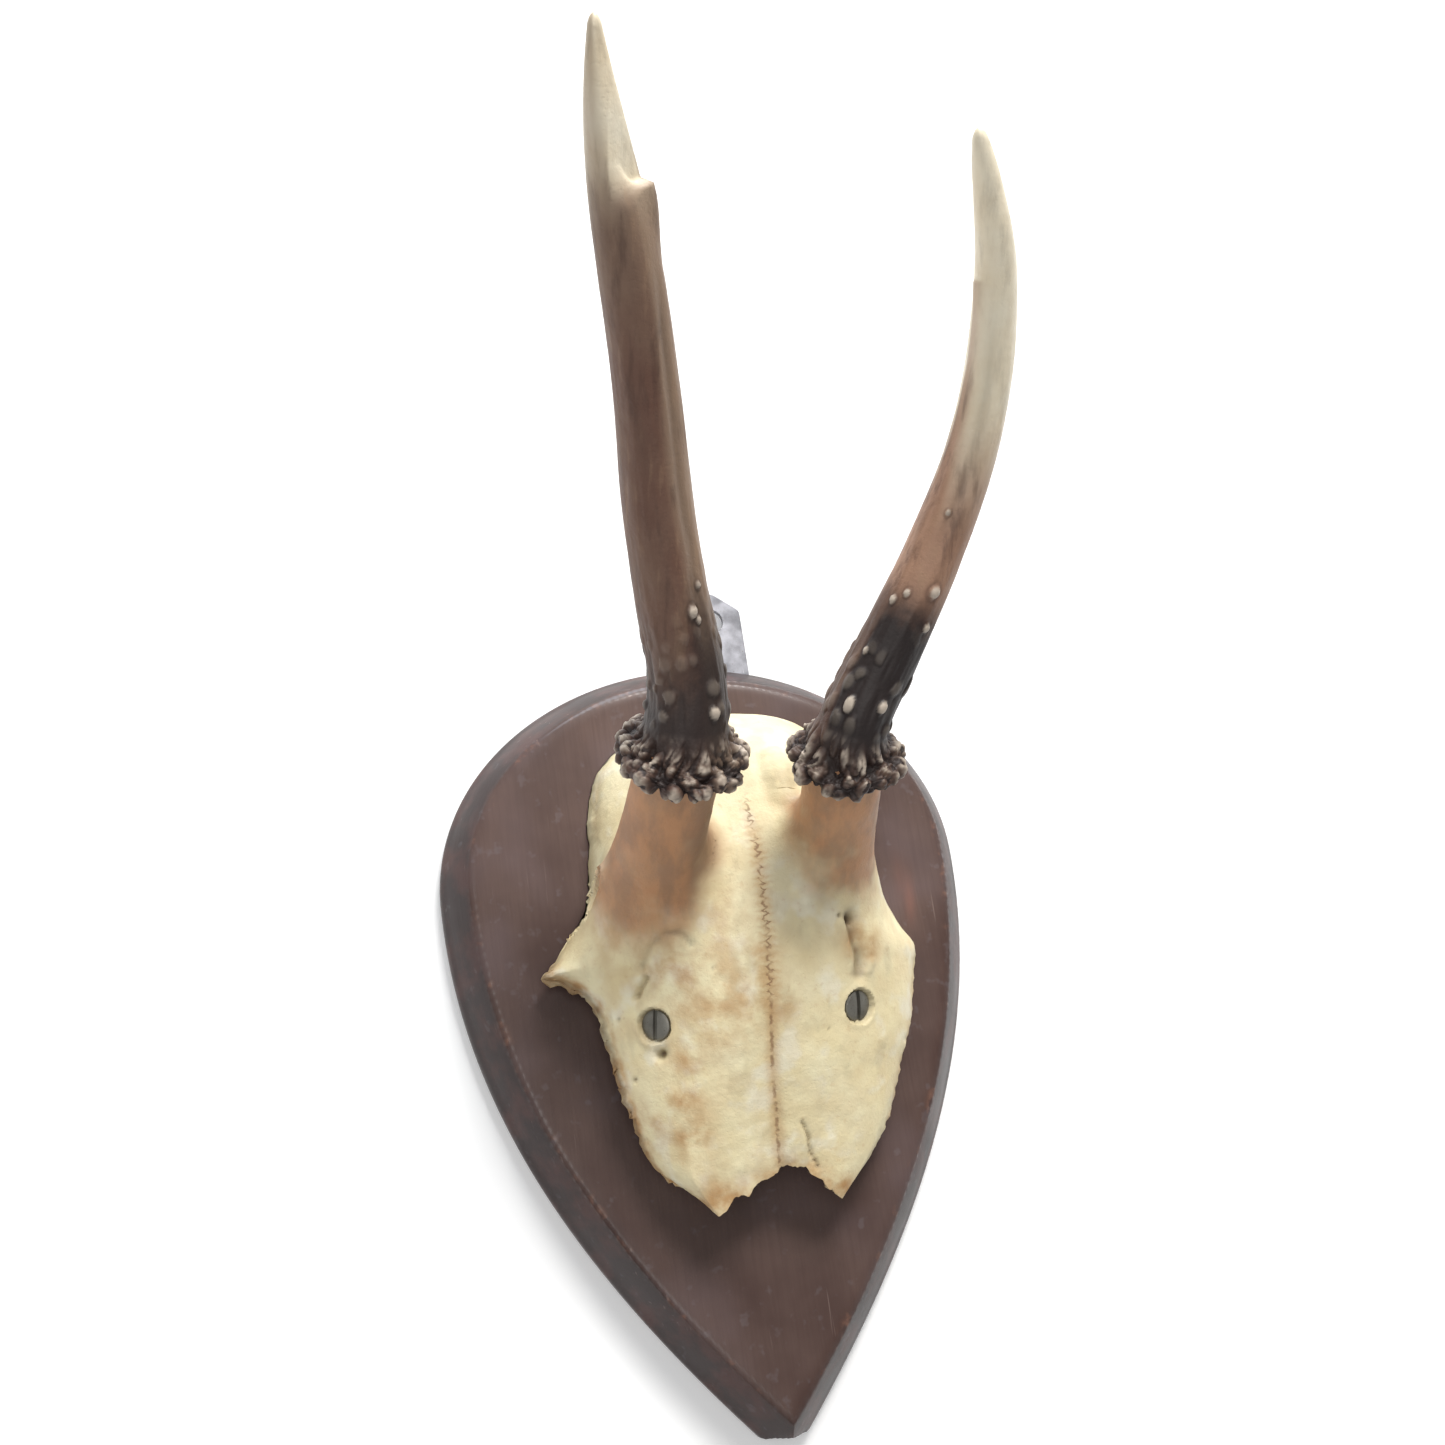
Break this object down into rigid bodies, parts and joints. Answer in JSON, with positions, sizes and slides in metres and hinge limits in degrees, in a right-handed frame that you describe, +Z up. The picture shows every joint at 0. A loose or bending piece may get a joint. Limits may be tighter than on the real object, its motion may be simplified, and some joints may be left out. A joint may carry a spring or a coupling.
{
  "type": "antler mounting plaque",
  "caption": "Teardrop wooden shield with a bevelled edge, carrying a roe deer skull cap with antlers on screws, hung by a metal strip.",
  "frame": {"origin": "on the shield's flat back, on its middle line, 74 mm below its top, where it rests on the wall", "axes": "+Z up along the shield's middle line, +Y out of the back into the wall, +X to the right as seen from the front"},
  "size_m": [0.125, 0.1641, 0.2409],
  "materials": {
    "wood": "satin dark stain",
    "bone": "dry bleached bone and brown antler",
    "screw": "dull",
    "strip": "zinc plated"
  },
  "bodies": {
    "root": {"shield": "wood", "skull_with_antlers": "bone", "skull_screw_left": "screw", "skull_screw_right": "screw", "hanger": "strip", "hanger_screw_upper": "screw", "hanger_screw_lower": "screw"}
  },
  "joints": []
}
